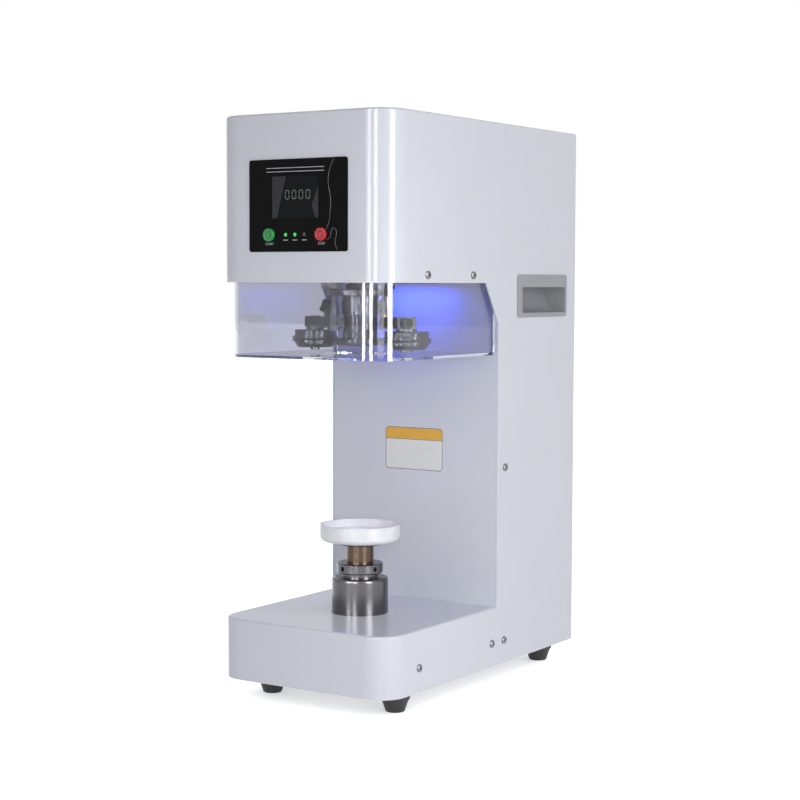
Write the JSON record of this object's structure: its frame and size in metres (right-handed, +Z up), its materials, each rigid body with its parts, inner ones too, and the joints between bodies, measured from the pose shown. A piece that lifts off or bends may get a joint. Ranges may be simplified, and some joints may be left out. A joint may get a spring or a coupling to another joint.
{
  "type": "can seamer",
  "caption": "Bench-top can seamer: C-shaped steel housing, rotating roller head behind a clear guard, lifting can tray, keypad and side handles.",
  "frame": {"origin": "ground under the middle of the machine, at the feet", "axes": "+Z up along the seaming axis; -Y is the front with the keypad; +X is to the right as seen from the front"},
  "size_m": [0.2548, 0.4552, 0.7],
  "materials": {
    "painted_white": "glossy cool-white powder coat",
    "zinc_sheet": "zinc-plated sheet and plate",
    "black_gloss": "glossy black overlay",
    "screen": "dark smoked window",
    "green_button": "glossy green",
    "red_button": "glossy red",
    "indicator": "small green lamp caps",
    "circuit_board": "green circuit board",
    "clear_guard": "clear acrylic with a lavender edge",
    "grey_plastic": "grey moulded plastic",
    "steel_screws": "bright pan-head screws",
    "polished_steel": "turned and polished stainless steel",
    "dark_steel": "hardened dark tool steel, polished",
    "black_steel": "black oxide socket screw",
    "bronze_steel": "steel rod with a warm bronze tint",
    "brass": "bright brass washer",
    "cast_housing": "grey cast housing",
    "bearing_steel": "ground bearing steel",
    "pulley_alloy": "machined aluminium",
    "belt_rubber": "black toothed belt rubber",
    "white_plastic": "white acetal",
    "supply_metal": "perforated supply case",
    "black_plastic": "black moulded plastic",
    "foot_rubber": "black rubber",
    "blue_light": "blue lit strip",
    "decal": "bare printed decal, amber band over a pale field"
  },
  "bodies": {
    "frame": {"casing": "painted_white", "column_panel": "painted_white", "rear_panel": "painted_white", "head_floor": "zinc_sheet", "bottom_plate": "zinc_sheet", "uprights": "zinc_sheet", "head_plate": "zinc_sheet", "shaft_yoke": "zinc_sheet", "drive_bridge": "zinc_sheet", "control_panel": "black_gloss", "display_window": "screen", "indicator_lights": "indicator", "control_board": "circuit_board", "guard": "clear_guard", "handle_left": "grey_plastic", "handle_right": "grey_plastic", "side_screws": "steel_screws", "lifter_base": "polished_steel", "chuck_shaft": "polished_steel", "chuck": "dark_steel", "spindle_housing": "cast_housing", "turret_motor": "cast_housing", "lift_motor": "cast_housing", "spindle_bearings": "bearing_steel", "turret_belt": "belt_rubber", "lift_belt": "belt_rubber", "power_supply": "supply_metal", "power_entry": "black_plastic", "foot_front_left": "foot_rubber", "foot_front_right": "foot_rubber", "foot_rear_left": "foot_rubber", "foot_rear_right": "foot_rubber", "work_light": "blue_light", "decal_plate": "decal"},
    "turret": {"turret_spindle": "polished_steel", "turret_disk": "polished_steel", "cam_plate": "dark_steel", "cam_follower": "polished_steel", "spindle_pulley": "pulley_alloy", "first_post": "dark_steel", "second_post": "polished_steel", "second_washer": "brass"},
    "first_arm_group": {"first_arm": "dark_steel", "cam_lever": "dark_steel", "first_roller_pin": "polished_steel"},
    "second_arm_group": {"second_arm": "dark_steel", "clamp_screw": "black_steel", "second_roller_pin": "polished_steel"},
    "first_roller_wheel": {"first_roller": "dark_steel"},
    "second_roller_wheel": {"second_roller": "dark_steel"},
    "motor_rotor": {"motor_pulley": "pulley_alloy"},
    "lift_carriage": {"lift_shaft": "bronze_steel", "lock_collar": "polished_steel", "tray_flange_disk": "polished_steel", "can_tray": "white_plastic"},
    "lift_screw_rotor": {"lift_screw": "polished_steel"},
    "lift_motor_rotor": {"lift_motor_pulley": "pulley_alloy"},
    "start_key": {"start_button": "green_button"},
    "stop_key": {"stop_button": "red_button"},
    "switch_rocker": {"power_switch": "black_plastic"}
  },
  "joints": [
    {"name": "turret_spin", "type": "hinge", "parent": "frame", "child": "turret", "pos_m": [0, -0.0981, 0.49], "axis": [0, 0, 1], "continuous": true},
    {"name": "motor_spin", "type": "hinge", "parent": "frame", "child": "motor_rotor", "pos_m": [0, 0.075, 0.61], "axis": [0, 0, 1], "continuous": true},
    {"name": "first_arm_swing", "type": "hinge", "parent": "turret", "child": "first_arm_group", "pos_m": [-0.02099, -0.1236, 0.4553], "axis": [0, 0, 1], "range_deg": [-16, 0]},
    {"name": "second_arm_swing", "type": "hinge", "parent": "turret", "child": "second_arm_group", "pos_m": [0.02099, -0.0726, 0.4553], "axis": [0, 0, 1], "range_deg": [-16, 0]},
    {"name": "first_roller_spin", "type": "hinge", "parent": "first_arm_group", "child": "first_roller_wheel", "pos_m": [-0.067, -0.0981, 0.435], "axis": [0, 0, 1], "continuous": true},
    {"name": "second_roller_spin", "type": "hinge", "parent": "second_arm_group", "child": "second_roller_wheel", "pos_m": [0.067, -0.0981, 0.435], "axis": [0, 0, 1], "continuous": true},
    {"name": "lift_slide", "type": "slide", "parent": "frame", "child": "lift_carriage", "axis": [0, 0, 1], "range_m": [0, 0.04]},
    {"name": "lift_screw_spin", "type": "hinge", "parent": "frame", "child": "lift_screw_rotor", "pos_m": [0, -0.0981, 0.05], "axis": [0, 0, 1], "range_deg": [0, 2880]},
    {"name": "lift_motor_spin", "type": "hinge", "parent": "frame", "child": "lift_motor_rotor", "pos_m": [0, 0.0614, 0.05], "axis": [0, 0, 1], "range_deg": [0, 4320]},
    {"name": "start_press", "type": "slide", "parent": "frame", "child": "start_key", "axis": [0, 1, 0], "range_m": [0, 0.0015], "stiffness_N_per_m": 500},
    {"name": "stop_press", "type": "slide", "parent": "frame", "child": "stop_key", "axis": [0, 1, 0], "range_m": [0, 0.0015], "stiffness_N_per_m": 500},
    {"name": "power_rocker", "type": "hinge", "parent": "frame", "child": "switch_rocker", "pos_m": [0.06, 0.2212, 0.072], "axis": [1, 0, 0], "range_deg": [0, 10]}
  ],
  "couplings": [
    {"joint": "motor_spin", "follows": "turret_spin", "ratio": 1.6071},
    {"joint": "lift_screw_spin", "follows": "lift_slide", "rad_per_m": 1256.6},
    {"joint": "lift_motor_spin", "follows": "lift_slide", "rad_per_m": 1885}
  ]
}
